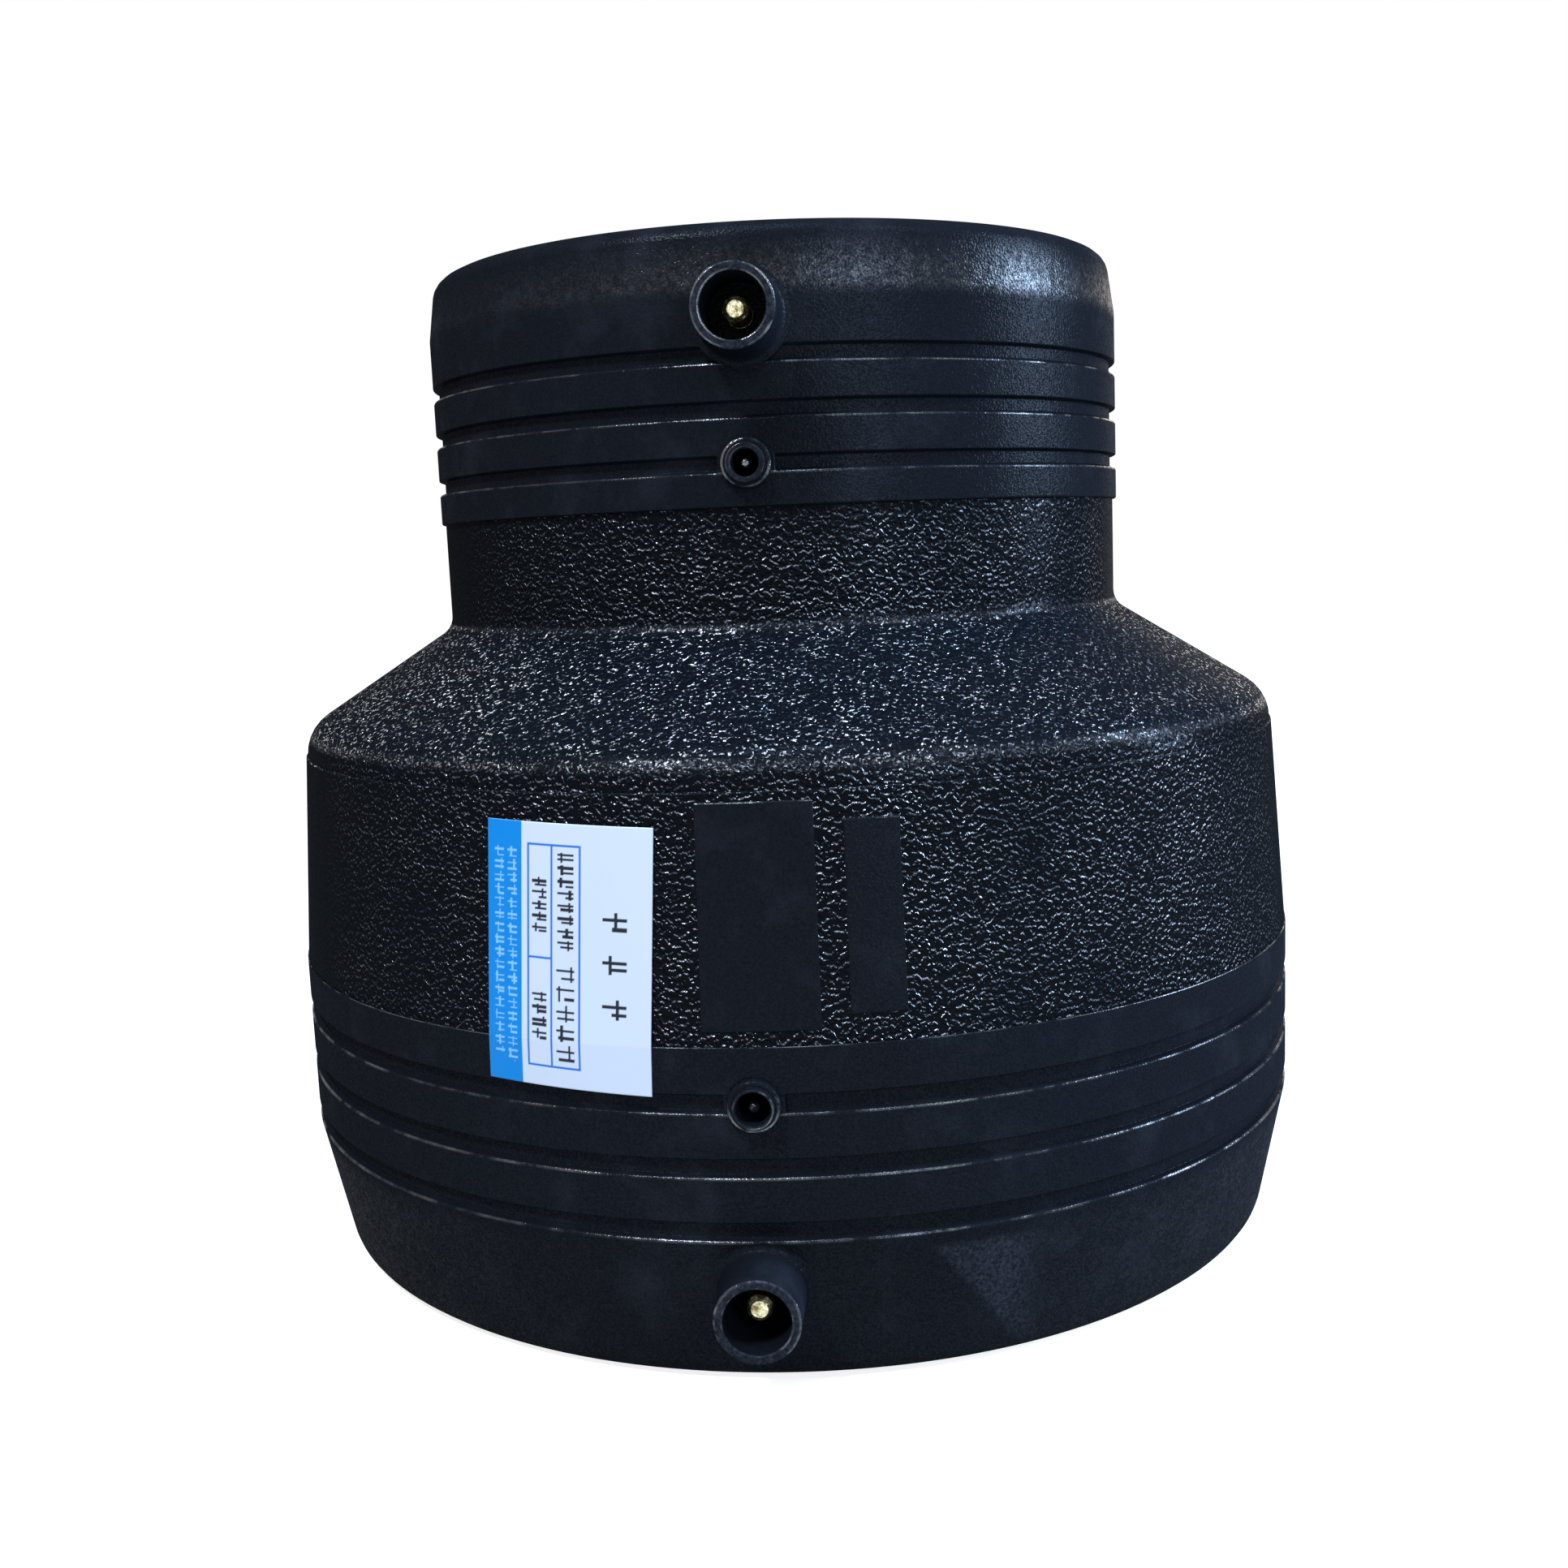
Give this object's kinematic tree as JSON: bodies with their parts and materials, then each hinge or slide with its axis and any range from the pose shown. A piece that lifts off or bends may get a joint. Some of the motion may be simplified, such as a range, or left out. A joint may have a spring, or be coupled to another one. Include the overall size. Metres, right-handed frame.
{
  "type": "electrofusion reducer",
  "caption": "Black polyethylene electrofusion reducer from 160 mm to 110 mm pipe, with shrouded brass terminals, fusion indicators, grooved bands, grained cone and paper label.",
  "frame": {"origin": "on the common axis, in the plane of the large end's rim", "axes": "+Z along the common axis from the large end to the small end, -Y towards both terminals, +X to the right of them"},
  "size_m": [0.192, 0.2015, 0.1785],
  "materials": {
    "polyethylene": "black moulded polyethylene, satin on the bands and tapers, glossy leather grain on the neck, cone and large wall",
    "wire": "drawn copper alloy resistance wire",
    "brass": "turned brass, slightly dulled",
    "label_paper": "coated white sticker with a blue band and a blue ruled frame"
  },
  "bodies": {
    "root": {"body": "polyethylene", "heating_wire": "wire", "large_terminal_pin": "brass", "small_terminal_pin": "brass", "label": "label_paper"}
  },
  "joints": []
}
